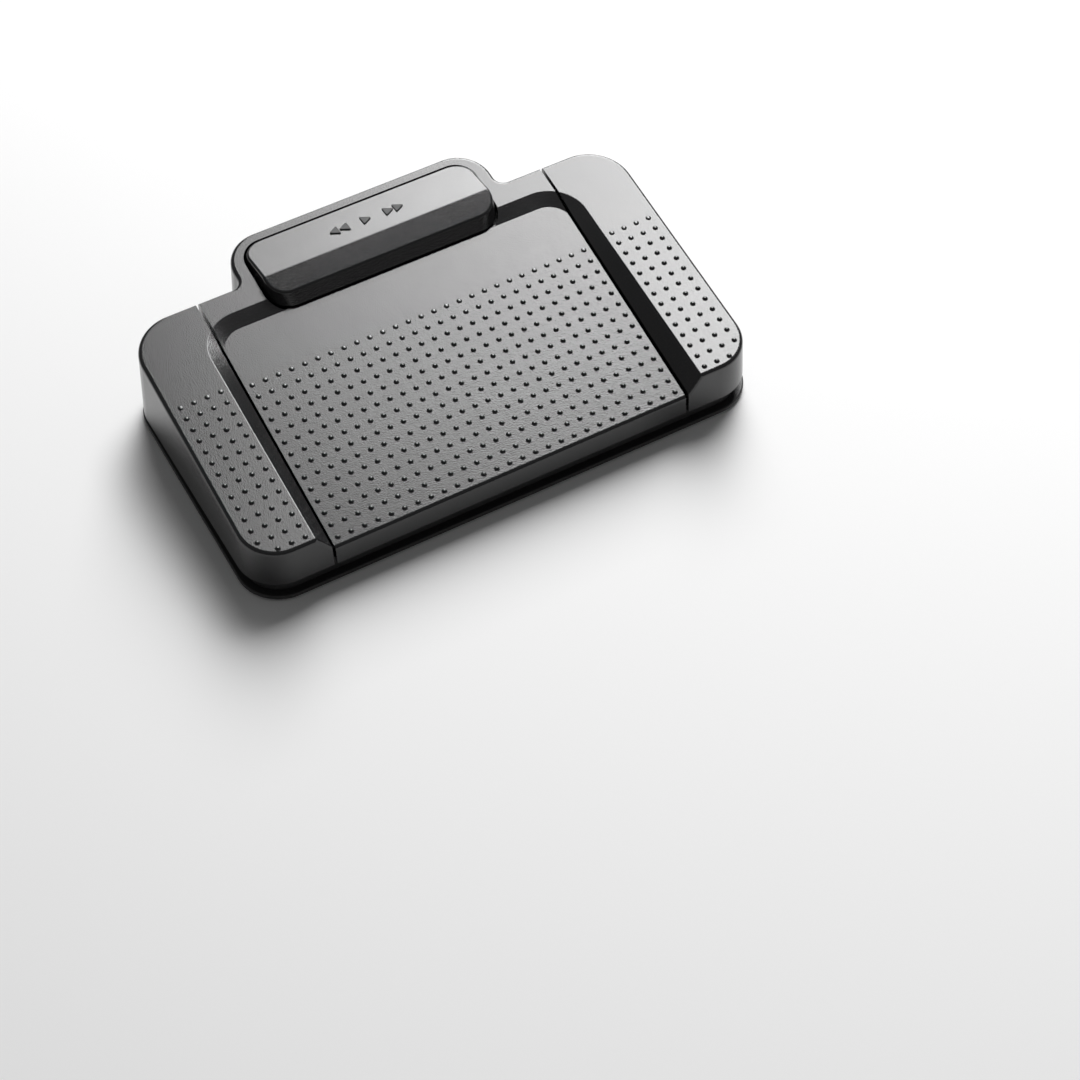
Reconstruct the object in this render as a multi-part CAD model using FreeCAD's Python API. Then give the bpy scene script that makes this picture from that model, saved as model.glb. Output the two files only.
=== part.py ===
import FreeCAD, Part
import math
import os
from FreeCAD import Placement, Rotation, Vector

# Four-pedal foot control. Millimetres, +X right, +Y rear, +Z up.
# Origin: on the floor, under the middle of the base. Only the rubber feet reach z = 0.

os.makedirs("parts", exist_ok=True)

# Overall sizes
base_width = 211.2
base_depth = 138.6
hump_width = 113.2
hump_depth = 20.9          # how far the hump stands out behind the side pedals
side_strip = 32.1          # from the base's side to the middle of the cut beside it
pedal_cut = 1.2            # width of the cut between two pedals

# Heights above the floor
foot_step = 0.7            # the feet stand this far out of the underside
floor_thickness = 2.0
top_rear = 37.2            # top of the side pedals and the bridge, at the rear edge
top_front = 26.0           # the same plane at the front edge
plate_rear = 33.8          # centre plate at its rear edge
plate_front = 17.8         # centre plate at the front edge
skirt_rear = 4.0           # lower edge of the pedals' walls
skirt_front = 9.2
rim_top = 9.6

# Moulding
wall = 2.0
roof = 2.2
draft = math.tan(math.radians(3.0))
lip_step = 0.4             # the base stands this far out past the pedals' walls
edge_round = 1.5
crease_round = 0.7
front_corner = 16.5
rear_corner = 19.2
hump_corner = 15.8
hump_inner_corner = 2.5

# Centre plate: sloped wall around it
plate_setback = 16.8       # plate's rear edge, in front of the rear edge of the pedals
bank_rear = 6.4            # width of the sloped wall behind the plate
bank_side = 6.0            # width of the sloped wall beside the plate
plate_corner = 10.0
bank_corner = 16.0
flange_depth = 10.0        # pedal walls along the cuts, below the plate

# Hinge of the three large pedals
axle_radius = 1.5
axle_setback = 8.0
axle_height = 8.0
running = 0.05             # radial clearance of a turning fit
pedal_travel = 2.8         # degrees
lug_radius = 3.5
lug_width = 4.0
lug_slot = 2.6
ear_gap = 0.5
ear_width = 3.6
centre_lugs = [28.0, 62.0]
rib_width = 1.2
rib_depth = 6.0
centre_ribs = [14.0, 54.0]

# Fourth pedal, the bar on the hump
bar_width = 96.8
bar_height = 43.0          # at its crease
bar_rear_height = 39.0
bar_front_height = 40.3
bar_front = 29.3           # foot of its leaning front wall
bar_front_top = 32.0       # upper edge of that wall
bar_crease = 41.2
bar_rear = 62.7
bar_lower_front = 31.5
bar_step = 34.9            # underside of the bar's front, over the plate
bar_bottom = 31.5
bar_wall = 1.8
bar_front_corner = 9.5
bar_rear_corner = 8.5
bar_lower_corner = 9.0
bar_round = 1.2
bar_side_gap = 1.0
bar_end_gap = 0.35
pocket_front = 30.5
pocket_floor = 29.0
pocket_floor_thickness = 2.0
pocket_wall = 1.6
pocket_corner = 9.0
mouth_bottom = plate_rear + 0.05
bar_axle_radius = 1.0
bar_axle_y = 56.5
bar_axle_z = 33.0
bar_travel = 1.5           # degrees
bar_lug_radius = 2.4
bar_lug_width = 3.0
bar_lug_slot = 1.7
bar_inner_lug = 18.0
bar_lug_inset = 8.4        # outer lug, in from the bar's end
bar_ear_gap = 0.4
bar_draft = math.tan(math.radians(2.0))
bar_roof = 2.0
bar_spring_inset = 18.4    # in from the bar's end
bar_spring_y = 36.0
bar_spring_top = 36.5
bar_spring_radius = 2.6
bar_spring_wire = 0.4
bar_spring_turns = 6
bar_spring_cup = 3.2
bar_spring_post = 1.4
bar_board_y = 41.0
bar_board_screw = 9.0
bar_board_thickness = 1.0
bar_boss_radius = 2.2
bar_boss_depth = 3.0       # under the pocket's floor
bar_screw_radius = 0.8
bar_sensor_height = 1.0
bar_magnet_radius = 1.5
bar_magnet_length = 2.0
bar_magnet_gap = 0.6
lead_half = 2.5
lead_thickness = 0.4
lead_slot_half = 3.2

# Inside the base
rim_gap = 0.8
rim_wall = 1.6
spring_radius = 4.7        # outside of the wire
spring_wire = 0.8
spring_turns = 5
spring_top = 17.5
spring_inset = 24.0        # from the front edge
bumper_radius = 3.0
bumper_height = 4.5
bumper_inset = 12.0
stop_gap = 0.3
side_station = 17.6        # springs, hooks and bumpers, in from the base's side
centre_station = 36.0
hook_y = -12.0
hook_height = 12.0
hook_width = 6.0
board_width = 180.0
board_rear = 16.0
board_depth = 20.0
board_thickness = 1.6
board_post = 4.0
board_inner_screw = 32.0
board_screw_radius = 1.1
post_radius = 2.6
magnet_radius = 2.5
magnet_length = 3.0
sensor_height = 1.2
magnet_gap = 0.8
magnet_wall = 1.3
sensor_inset = 6.0         # from a side pedal's spring to its sensor
centre_sensor_x = 12.0
foot_radius = 6.0
foot_recess = 1.0
fit_gap = 0.1              # loose fit of a part that is screwed, pressed or glued in place
cable_radius = 1.9
grommet_neck = 3.6
grommet_flange = 5.0
grommet_flange_width = 1.6
clamp_inset = 16.0
clamp_screw_x = 6.5
clamp_screw = (1.25, 7.0)  # radius and length
clamp_thickness = 2.4
clamp_half = 3.0
ballast_half = 66.0
ballast_thickness = 2.0
ballast_screw_radius = 1.5

# Worked out from the sizes above
front_y = -base_depth / 2
rear_y = base_depth / 2
skirt_front_y = front_y + lip_step
skirt_hump_y = rear_y - lip_step
skirt_rear_y = skirt_hump_y - hump_depth
skirt_half = base_width / 2 - lip_step
rear_edge = skirt_rear_y - (top_rear - skirt_rear) * draft + 0.4
plate_rear_y = rear_edge - plate_setback
axle_y = rear_edge - axle_setback
cut_x = base_width / 2 - side_strip
side_inner = cut_x + pedal_cut / 2
centre_half = cut_x - pedal_cut / 2
floor_top = foot_step + floor_thickness
side_x = base_width / 2 - side_station
spring_y = front_y + spring_inset
bumper_y = front_y + bumper_inset
rim_inner_y = skirt_front_y + wall + rim_gap + rim_wall + 0.8
far = 400.0
tall = 90.0


def line_through(y0, z0, y1, z1):
    """Height of a plane that slopes along Y only."""
    slope = (z1 - z0) / (y1 - y0)
    return lambda y: z0 + slope * (y - y0)


top_at = line_through(front_y, top_front, rear_edge, top_rear)
plate_at = line_through(front_y, plate_front, plate_rear_y, plate_rear)
skirt_at = line_through(skirt_front_y, skirt_front, skirt_rear_y, skirt_rear)


def drop_at(y):
    """How far a point of a large pedal goes down over the full travel."""
    return (axle_y - y) * math.sin(math.radians(pedal_travel))


# Where the parts of the hinge stand, on the right half
side_lugs = [side_inner + 5.1, side_inner + 14.5]
side_ear = sum(side_lugs) / 2
side_ear_width = side_lugs[1] - side_lugs[0] - lug_width - 2 * ear_gap
centre_ears = [x - (lug_width + ear_width) / 2 - ear_gap for x in centre_lugs]
axle_half = side_lugs[1] + lug_width / 2 + 1.0
bar_lugs = [bar_inner_lug, bar_width / 2 - bar_lug_inset]
bar_ears = [x - bar_lug_width - bar_ear_gap for x in bar_lugs]
bar_spring_x = bar_width / 2 - bar_spring_inset

# Heights inside
board_bottom = floor_top + board_post
board_top = board_bottom + board_thickness
board_front = board_rear - board_depth
sensor_y = (board_front + board_rear) / 2
magnet_bottom = board_top + sensor_height + drop_at(sensor_y) + magnet_gap
bumper_top = floor_top + bumper_height
stop_pad = bumper_top + drop_at(bumper_y - bumper_radius) + stop_gap
sensor_x = base_width / 2 - side_station - sensor_inset
cable_height = floor_top + grommet_flange + 0.2
clamp_bottom = cable_height - 0.4
clamp_y = rear_y - clamp_inset
lead_socket_y = board_rear - 3.0

# Screws and feet, on the right half
feet = [
    (base_width / 2 - 14, front_y + 13), (base_width / 2 - 14, skirt_rear_y - 15),
    (hump_width / 2 - 15, skirt_hump_y - 12),
]
ballast_front = bumper_y + bumper_radius + 2
ballast_rear = hook_y - 8
ballast_screws = [(ballast_half - 8, ballast_front + 5), (ballast_half - 8, ballast_rear - 5)]
board_screws = [(board_width / 2 - 4, sensor_y), (board_inner_screw, sensor_y)]

# Inside the bar
bar_board_bottom = pocket_floor + 0.6
bar_board_top = bar_board_bottom + bar_board_thickness
bar_lead_y = bar_board_y + 6.5
bar_drop = (bar_axle_y - bar_board_y + 2) * math.sin(math.radians(bar_travel))
bar_magnet_bottom = bar_board_top + bar_sensor_height + bar_drop + bar_magnet_gap


def rim_space(x0, x1):
    """Space that the rim needs inside the front wall, over the whole travel."""
    top = rim_top + drop_at(skirt_front_y) + ear_gap
    return box(x0, x1, skirt_front_y + wall, rim_inner_y, 0, top)


def box(x0, x1, y0, y1, z0, z1):
    return Part.makeBox(x1 - x0, y1 - y0, z1 - z0, Vector(x0, y0, z0))


def cylinder(x, y, z0, z1, radius):
    return Part.makeCylinder(radius, z1 - z0, Vector(x, y, z0))


def rod(x0, x1, y, z, radius):
    return Part.makeCylinder(radius, x1 - x0, Vector(x0, y, z), Vector(1, 0, 0))


def side_prism(points, x0, x1):
    """Polygon in the YZ plane, drawn out along X."""
    corners = [Vector(x0, y, z) for y, z in points]
    outline = Part.makePolygon(corners + corners[:1])
    return Part.Face(outline).extrude(Vector(x1 - x0, 0, 0))


def above(height, lift=0.0):
    ends = [(y, height(y) + lift) for y in (-far, far)]
    return side_prism([ends[0], ends[1], (far, far), (-far, far)], -far, far)


def below(height, lift=0.0):
    ends = [(y, height(y) + lift) for y in (-far, far)]
    return side_prism([(-far, -far), (far, -far), ends[1], ends[0]], -far, far)


def fused(shapes):
    result = shapes[0]
    for shape in shapes[1:]:
        result = result.fuse(shape)
    return result.removeSplitter()


def both_sides(shape):
    return [shape, shape.mirror(Vector(0, 0, 0), Vector(1, 0, 0))]


def inset(corners, distance):
    """Outline moved inwards. Corners are (x, y, radius), anticlockwise."""
    moved = []
    count = len(corners)
    for i, (x, y, radius) in enumerate(corners):
        before = corners[i - 1]
        after = corners[(i + 1) % count]
        ax, ay = x - before[0], y - before[1]
        bx, by = after[0] - x, after[1] - y
        a, b = math.hypot(ax, ay), math.hypot(bx, by)
        ax, ay, bx, by = ax / a, ay / a, bx / b, by / b
        turn = ax * by - ay * bx
        side = (1 + ax * bx + ay * by)
        nx, ny = -(ay + by) / side, (ax + bx) / side
        new_radius = 0.0
        if radius > 0:
            new_radius = radius - distance if turn > 0 else radius + distance
        moved.append((x + nx * distance, y + ny * distance, new_radius))
    return moved


def outline(corners, z):
    """Closed wire of straight edges and corner arcs at height z."""
    edges = []
    count = len(corners)
    ends = []
    for i, (x, y, radius) in enumerate(corners):
        before, after = corners[i - 1], corners[(i + 1) % count]
        here = Vector(x, y, z)
        to_before = (Vector(before[0], before[1], z) - here).normalize()
        to_after = (Vector(after[0], after[1], z) - here).normalize()
        half = to_before.getAngle(to_after) / 2
        reach = radius / math.tan(half) if radius > 0 else 0.0
        start = here + to_before * reach
        end = here + to_after * reach
        middle = here
        if radius > 0:
            inward = (to_before + to_after).normalize()
            middle = here + inward * (radius / math.sin(half) - radius)
        ends.append((start, middle, end, radius))
    for i, (start, middle, end, radius) in enumerate(ends):
        if radius > 0:
            edges.append(Part.Arc(start, middle, end).toShape())
        edges.append(Part.LineSegment(end, ends[(i + 1) % count][0]).toShape())
    return Part.Wire(edges)


def prism(corners, z0, z1):
    return Part.Face(outline(corners, z0)).extrude(Vector(0, 0, z1 - z0))


def drafted(corners, z0, z1, slope):
    upper = inset(corners, (z1 - z0) * slope)
    return Part.makeLoft([outline(corners, z0), outline(upper, z1)], True, True)


def rectangle(x0, x1, y0, y1, radii=(0, 0, 0, 0)):
    points = [(x0, y0), (x1, y0), (x1, y1), (x0, y1)]
    return [(x, y, radius) for (x, y), radius in zip(points, radii)]


def footprint():
    """Outline of all pedals together, at the height of the skirt's rear edge."""
    hump = hump_width / 2
    right = [
        (skirt_half, skirt_front_y, front_corner),
        (skirt_half, skirt_rear_y, rear_corner),
        (hump, skirt_rear_y, hump_inner_corner),
        (hump, skirt_hump_y, hump_corner),
    ]
    left = [(-x, y, radius) for x, y, radius in reversed(right)]
    return right + left


def envelope(distance):
    """Solid inside the pedals' outer walls, moved in by a distance."""
    lowest = skirt_rear - 6
    start = inset(footprint(), distance - (skirt_rear - lowest) * draft)
    return drafted(start, lowest, lowest + 60, draft)


def on_plane(corners, height):
    """Wire of an outline laid on a plane that slopes along Y."""
    slope = height(1.0) - height(0.0)
    stretch = math.sqrt(1 + slope * slope)
    wire = outline([(x, y * stretch, radius) for x, y, radius in corners], 0)
    turn = Rotation(Vector(1, 0, 0), math.degrees(math.atan(slope)))
    wire.Placement = Placement(Vector(0, 0, height(0.0)), turn)
    return wire


def recess(grow=0.0, lower=0.0):
    """Space above the centre plate, inside the sloped wall."""
    front = front_y - 30
    low = rectangle(-cut_x - grow, cut_x + grow, front, plate_rear_y + grow,
                    (0, 0, plate_corner, plate_corner))
    half = cut_x + bank_side + grow
    high = rectangle(-half, half, front, plate_rear_y + bank_rear + grow,
                     (0, 0, bank_corner, bank_corner))
    floor_wire = on_plane(low, lambda y: plate_at(y) - lower)
    rim_wire = on_plane(high, lambda y: top_at(y) - lower)
    bank = Part.makeLoft([floor_wire, rim_wire], True, True)
    return bank.fuse(Part.Face(rim_wire).extrude(Vector(0, 0, tall))).removeSplitter()


def edge_points(edge):
    first, last = edge.ParameterRange
    return [edge.valueAt(first + (last - first) * share) for share in (0.05, 0.5, 0.95)]


def edges_where(shape, test):
    return [edge for edge in shape.Edges if all(test(point) for point in edge_points(edge))]


def screw(x, y, seat, head_radius, head_height, shank_radius, length):
    """Pan-head screw, head up, with a cross recess. seat is the height under its head."""
    head = cylinder(x, y, seat, seat + head_height, head_radius)
    rim = edges_where(head, lambda p: abs(p.z - seat - head_height) < 0.01)
    head = head.makeFillet(head_height * 0.45, rim)
    shank = cylinder(x, y, seat - length, seat, shank_radius)
    arm = head_radius * 0.62
    slot = head_radius * 0.13
    top = seat + head_height + 1
    recess_floor = seat + head_height * 0.4
    cross = box(x - arm, x + arm, y - slot, y + slot, recess_floor, top)
    cross = cross.fuse(box(x - slot, x + slot, y - arm, y + arm, recess_floor, top))
    return head.fuse(shank).cut(cross)


def coil_spring(x, y, z0, z1, radius, wire, turns):
    """Compression spring standing on z0, with ground ends."""
    coil_radius = radius - wire / 2
    low, high = z0 + wire / 2, z1 - wire / 2
    helix = Part.makeLongHelix((high - low) / turns, high - low, coil_radius)
    section = Part.Wire(Part.makeCircle(wire / 2, Vector(coil_radius, 0, 0), Vector(0, 1, 0)))
    coil = Part.Wire(helix.Edges).makePipeShell([section], True, True)
    coil.translate(Vector(x, y, low))
    return coil


def export(node, shape):
    shape.exportStep("parts/" + node + ".step")


def hinge_lug(x, y, z, radius, width, bore, slot, top):
    """Hook that snaps down over an axle along X."""
    lug = box(x - width / 2, x + width / 2, y - radius, y + radius, z, top)
    lug = lug.fuse(rod(x - width / 2, x + width / 2, y, z, radius))
    lug = lug.cut(rod(x - width, x + width, y, z, bore))
    return lug.cut(box(x - width, x + width, y - slot / 2, y + slot / 2, z - 2 * radius, z))


def hinge_ear(x, y, z, radius, width, bore, slot, bottom):
    """Upright that the axle snaps into from above."""
    ear = box(x - width / 2, x + width / 2, y - radius, y + radius, bottom, z)
    ear = ear.fuse(rod(x - width / 2, x + width / 2, y, z, radius))
    ear = ear.cut(rod(x - width, x + width, y, z, bore))
    return ear.cut(box(x - width, x + width, y - slot / 2, y + slot / 2, z, z + 2 * radius))


def pedal_station(x, hook_x):
    """Spring seat, stop pad and rest hook that reach down inside a pedal."""
    seat = cylinder(x, spring_y, spring_top + running, tall, spring_radius + 0.9)
    nose = cylinder(x, spring_y, spring_top - 3, tall, spring_radius - spring_wire - 0.6)
    pad = box(x - 3.5, x + 3.5, bumper_y - 3.5, bumper_y + 3.5, stop_pad, tall)
    leg = box(hook_x - hook_width / 2, hook_x + hook_width / 2,
              hook_y, hook_y + 2.5, hook_height - 2.3, tall)
    toe = box(hook_x - hook_width / 2, hook_x + hook_width / 2,
              hook_y - 3, hook_y + 1, hook_height - 2.3, hook_height - fit_gap)
    return [seat, nose, pad, leg, toe]


def magnet_boss(x):
    boss = cylinder(x, sensor_y, magnet_bottom, tall, magnet_radius + magnet_wall)
    bore = cylinder(x, sensor_y, magnet_bottom - 1, magnet_bottom + magnet_length,
                    magnet_radius + 0.03)
    return boss.cut(bore)


def rib(x, y0, y1, height):
    """Stiffening rib along Y, under a roof that follows a sloping plane."""
    blade = box(x - rib_width / 2, x + rib_width / 2, y0, y1, 0, tall)
    return blade.cut(below(height, -roof - rib_depth))


def cross_rib(x0, x1, y, height):
    """Stiffening rib along X."""
    return box(x0, x1, y, y + rib_width, 0, tall).cut(below(height, -roof - rib_depth))


def pedal_blank(x0, x1):
    """Solid outer shape of a pedal between two cuts, before it is hollowed."""
    solid = envelope(0).common(box(x0, x1, -far, far, 0, tall))
    solid = solid.cut(above(top_at)).cut(below(skirt_at)).cut(recess())
    return solid.removeSplitter()


def round_outer_edges(solid, is_outer):
    edges = edges_where(solid, is_outer)
    return solid.makeFillet(edge_round, edges)


def on_top_plane(point):
    return abs(point.z - top_at(point.y)) < 0.02


def on_plate_plane(point):
    return abs(point.z - plate_at(point.y)) < 0.02


def make_side_pedal():
    """Right pedal. The left one is its mirror image."""
    solid = pedal_blank(side_inner, far)
    outer_wall = envelope(0.05)

    def outside(point):
        return not outer_wall.isInside(point, 0.001, True)

    def is_outer(point):
        if point.x < side_inner + 0.02:
            return False
        upper = on_top_plane(point) or point.z > plate_at(point.y) + 0.1
        return upper and outside(point) and point.z > top_front - 9

    solid = round_outer_edges(solid, is_outer)
    inner_wall = envelope(wall)

    def is_crease(point):
        within = inner_wall.isInside(point, 0.001, True)
        return on_top_plane(point) and within and point.x > side_inner + 0.02

    solid = solid.makeFillet(crease_round, edges_where(solid, is_crease))
    keep = side_inner + wall
    hollow = envelope(wall).common(box(keep, far, -far, far, -1, tall))
    hollow = hollow.cut(above(top_at, -roof)).cut(recess(1.2, roof))
    under_flange = envelope(wall).common(box(side_inner - 1, keep + 1, -far, far, -1, tall))
    under_flange = under_flange.cut(above(plate_at, -flange_depth))
    under_flange = under_flange.fuse(rim_space(side_inner - 1, keep + 1))
    features = pedal_station(side_x, side_x)
    features += [magnet_boss(sensor_x)]
    for x in side_lugs:
        features += [hinge_lug(x, axle_y, axle_height, lug_radius, lug_width,
                               axle_radius + running, lug_slot, tall)]
    for y in (spring_y + 22, hook_y + 8, sensor_y + 9):
        features += [cross_rib(keep - 1, skirt_half - 3, y, top_at)]
    inside = fused(features).common(solid)
    return solid.cut(hollow).cut(under_flange).fuse(inside).removeSplitter()


def make_centre_pedal():
    """Plate, sloped wall, bridge and hump in one moulding, with the bar's pocket."""
    solid = pedal_blank(-centre_half, centre_half)
    outer_wall = envelope(0.05)

    def outside(point):
        return not outer_wall.isInside(point, 0.001, True)

    def is_outer(point):
        if abs(point.x) > centre_half - 0.02:
            return False
        on_roof = on_top_plane(point) or on_plate_plane(point)
        return on_roof and outside(point)

    solid = round_outer_edges(solid, is_outer)
    half = bar_width / 2 + bar_side_gap
    front_radius = bar_front_corner + bar_side_gap
    radii = (front_radius, front_radius, pocket_corner, pocket_corner)
    plan = rectangle(-half, half, bar_front - bar_side_gap, bar_rear + bar_end_gap, radii)
    kept = box(-far, far, -far, pocket_front, 0, mouth_bottom)
    pocket = prism(plan, pocket_floor, tall).cut(kept)
    casing_low = pocket_floor - pocket_floor_thickness
    casing = box(-half - pocket_wall, half + pocket_wall, pocket_front - pocket_wall,
                 bar_rear + bar_end_gap + pocket_wall, casing_low, tall)
    hollow = envelope(wall).common(box(wall - centre_half, centre_half - wall, -far, far, -1, tall))
    hollow = hollow.cut(above(top_at, -roof)).cut(recess(1.2, roof)).cut(casing)
    hollow = hollow.cut(above(plate_at, -roof).common(box(-far, far, -far, plate_rear_y, -1, tall)))
    edge_space = envelope(wall).cut(above(plate_at, -flange_depth))
    edge_space = edge_space.fuse(rim_space(-centre_half - 1, centre_half + 1))
    edge_space = edge_space.common(box(-centre_half - 1, centre_half + 1, -far, far, -1, tall))
    middle = box(wall + 1 - centre_half, centre_half - wall - 1, -far, far, -1, tall)
    edge_space = edge_space.cut(middle)
    features = [magnet_boss(centre_sensor_x)]
    for side in (-1, 1):
        features += pedal_station(side * centre_station, side * centre_station)
        for x in centre_lugs:
            features += [hinge_lug(side * x, axle_y, axle_height, lug_radius, lug_width,
                                   axle_radius + running, lug_slot, tall)]
        for x in centre_ribs:
            features += [rib(side * x, rim_inner_y, pocket_front - 3, plate_at)]
    inside = fused(features).common(solid)
    solid = solid.cut(hollow).cut(edge_space).fuse(inside)
    solid = solid.cut(pocket)
    raised = []
    for side in (-1, 1):
        for x in bar_ears:
            raised += [hinge_ear(side * x, bar_axle_y, bar_axle_z, bar_lug_radius,
                                 bar_lug_width, bar_axle_radius + running, bar_lug_slot,
                                 casing_low)]
        raised += [cylinder(side * bar_spring_x, bar_spring_y, casing_low,
                            pocket_floor + 1.5, bar_spring_post)]
        raised += [cylinder(side * bar_board_screw, bar_board_y, casing_low - bar_boss_depth,
                            bar_board_bottom, bar_boss_radius)]
    solid = solid.fuse(fused(raised))
    for x in (-bar_board_screw, bar_board_screw):
        solid = solid.cut(cylinder(x, bar_board_y, casing_low - bar_boss_depth + 0.5,
                                   bar_board_bottom + 1, bar_screw_radius + running))
    solid = solid.cut(box(-lead_slot_half, lead_slot_half, bar_lead_y - 2 * lead_thickness,
                          bar_lead_y + 2 * lead_thickness, casing_low - 1, pocket_floor + 1))
    notch = grommet_flange + 0.6
    solid = solid.cut(box(-notch, notch, skirt_hump_y - 8, skirt_hump_y + 8,
                          0, cable_height + notch + 0.4))
    return solid.removeSplitter()


def bar_top_profile(lower):
    """Side view of the bar's roof: up to the crease, then down to its front."""
    return [
        (bar_rear + 20, bar_roof_at(bar_rear + 20) - lower),
        (bar_rear + 20, tall),
        (bar_front - 20, tall),
        (bar_front - 20, bar_roof_at(bar_front - 20) - lower),
        (bar_crease, bar_height - lower),
    ]


def leaning(corners, z0, z1):
    """Solid with drafted sides whose front wall leans back to meet the bar's top."""
    lean = (bar_front_top - bar_front) / (bar_front_height - bar_step)
    rise = z1 - z0
    upper = []
    for x, y, radius in inset(corners, rise * bar_draft):
        if y < bar_crease:
            y += rise * (lean - bar_draft)
            radius -= rise * lean / 2
        upper.append((x, y, radius))
    return Part.makeLoft([outline(corners, z0), outline(upper, z1)], True, True)


def make_bar():
    """Bar with its leaning front wall, stepped underside and hollow."""
    half = bar_width / 2
    radii = (bar_front_corner, bar_front_corner, bar_rear_corner, bar_rear_corner)
    plan = rectangle(-half, half, bar_front, bar_rear, radii)
    low_radii = (bar_lower_corner, bar_lower_corner, bar_rear_corner, bar_rear_corner)
    low_plan = rectangle(-half, half, bar_lower_front, bar_rear, low_radii)
    height = bar_height + 1
    outer = leaning(plan, bar_step, height).cut(side_prism(bar_top_profile(0), -far, far))

    def is_rim(point):
        return abs(point.z - bar_roof_at(point.y)) < 0.02

    outer = outer.makeFillet(bar_round, edges_where(outer, is_rim))
    solid = outer.fuse(prism(low_plan, bar_bottom, bar_step)).removeSplitter()
    inner_upper = leaning(inset(plan, bar_wall), bar_step, height)
    inner_upper = inner_upper.cut(box(-far, far, -far, far, 0, bar_step + bar_wall))
    inner_lower = prism(inset(low_plan, bar_wall), bar_bottom - 1, bar_step + bar_wall)
    ceiling = side_prism(bar_top_profile(bar_roof), -far, far)
    hollow = fused([inner_upper, inner_lower]).cut(ceiling)
    features = []
    for side in (-1, 1):
        for x in bar_lugs:
            features += [hinge_lug(side * x, bar_axle_y, bar_axle_z, bar_lug_radius,
                                   bar_lug_width, bar_axle_radius + running, bar_lug_slot, tall)]
        features += [cylinder(side * bar_spring_x, bar_spring_y, bar_spring_top + running,
                              tall, bar_spring_cup)]
    boss = cylinder(0, bar_board_y, bar_magnet_bottom, tall, bar_magnet_radius + magnet_wall)
    features += [boss.cut(cylinder(0, bar_board_y, bar_magnet_bottom - 1,
                                   bar_magnet_bottom + bar_magnet_length,
                                   bar_magnet_radius + 0.03))]
    allowed = box(-half, half, bar_front - 1, bar_rear + 1, bar_bottom - 9, tall)
    allowed = allowed.cut(side_prism(bar_top_profile(bar_roof / 2), -far, far))
    inside = fused(features).common(allowed)
    return solid.cut(hollow).fuse(inside).removeSplitter()


def bar_roof_at(y):
    rear_slope = (bar_height - bar_rear_height) / (bar_rear - bar_crease)
    front_slope = (bar_height - bar_front_height) / (bar_crease - bar_front_top)
    if y > bar_crease:
        return bar_height - rear_slope * (y - bar_crease)
    return bar_height - front_slope * (bar_crease - y)


def make_base():
    """Floor with a lip all round, a rim inside the pedals' walls, and its uprights."""
    base_outline = inset(footprint(), -lip_step)
    floor = prism(base_outline, foot_step, floor_top)
    corner = edges_where(floor, lambda p: abs(p.z - floor_top) < 0.01)
    floor = floor.makeFillet(0.6, corner)
    corner = edges_where(floor, lambda p: abs(p.z - foot_step) < 0.01)
    floor = floor.makeChamfer(0.5, corner)
    band = box(-far, far, -far, far, floor_top - 0.5, rim_top)
    rim = envelope(wall + rim_gap).cut(envelope(wall + rim_gap + rim_wall)).common(band)
    uprights = []
    for x, y in feet:
        floor = floor.cut(fused(both_sides(
            cylinder(x, y, foot_step - 1, foot_step + foot_recess, foot_radius + fit_gap))))
    low = floor_top - 0.5
    ears = [(side_ear, side_ear_width)] + [(x, ear_width) for x in centre_ears]
    for x, width in ears:
        uprights += [hinge_ear(x, axle_y, axle_height, lug_radius, width,
                               axle_radius + running, lug_slot, low)]
    for x in (side_x, centre_station):
        cup = cylinder(x, spring_y, low, floor_top + 2.5, spring_radius + 1.9)
        uprights += [cup.cut(cylinder(x, spring_y, floor_top, tall, spring_radius + 0.7))]
        post = cylinder(x, bumper_y, low, floor_top + 1.5, bumper_radius + 1.2)
        uprights += [post.cut(cylinder(x, bumper_y, floor_top, tall, bumper_radius + fit_gap))]
        for end in (-1, 1):
            leg_x = x + end * (hook_width / 2 + 2)
            uprights += [box(leg_x - 1, leg_x + 1, hook_y - 3, hook_y - 0.6, low, hook_height + 2)]
        uprights += [box(x - hook_width / 2 - 3, x + hook_width / 2 + 3, hook_y - 3,
                         hook_y - 0.6, hook_height, hook_height + 2)]
    for x, y in board_screws:
        post = cylinder(x, y, low, board_bottom, post_radius)
        uprights += [post.cut(cylinder(x, y, floor_top, tall, board_screw_radius + running))]
    post = cylinder(clamp_screw_x, clamp_y, low, clamp_bottom, post_radius)
    uprights += [post.cut(cylinder(clamp_screw_x, clamp_y, floor_top, tall,
                                   clamp_screw[0] + running))]
    halves = both_sides(fused(uprights))
    solid = fused([floor, rim] + halves)
    for x, y in ballast_screws:
        solid = solid.cut(fused(both_sides(
            cylinder(x, y, foot_step + 0.6, tall, ballast_screw_radius + running))))
    slot = grommet_neck + fit_gap
    slot_front, slot_rear = clamp_y + clamp_half + 1, rear_y - 0.9
    solid = solid.cut(box(-slot, slot, slot_front, slot_rear, cable_height, tall))
    solid = solid.cut(Part.makeCylinder(slot, slot_rear - slot_front,
                                        Vector(0, slot_front, cable_height), Vector(0, 1, 0)))
    return solid.removeSplitter()


def make_ballast():
    corners = rectangle(-ballast_half, ballast_half, ballast_front, ballast_rear, (4, 4, 4, 4))
    plate = prism(corners, floor_top, floor_top + ballast_thickness)
    for side in (-1, 1):
        plate = plate.cut(cylinder(side * centre_station, spring_y, 0, tall, spring_radius + 2.4))
        plate = plate.cut(cylinder(side * centre_station, bumper_y, 0, tall, bumper_radius + 1.7))
        for x, y in ballast_screws:
            plate = plate.cut(cylinder(side * x, y, 0, tall, ballast_screw_radius + 0.2))
    return plate


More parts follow.
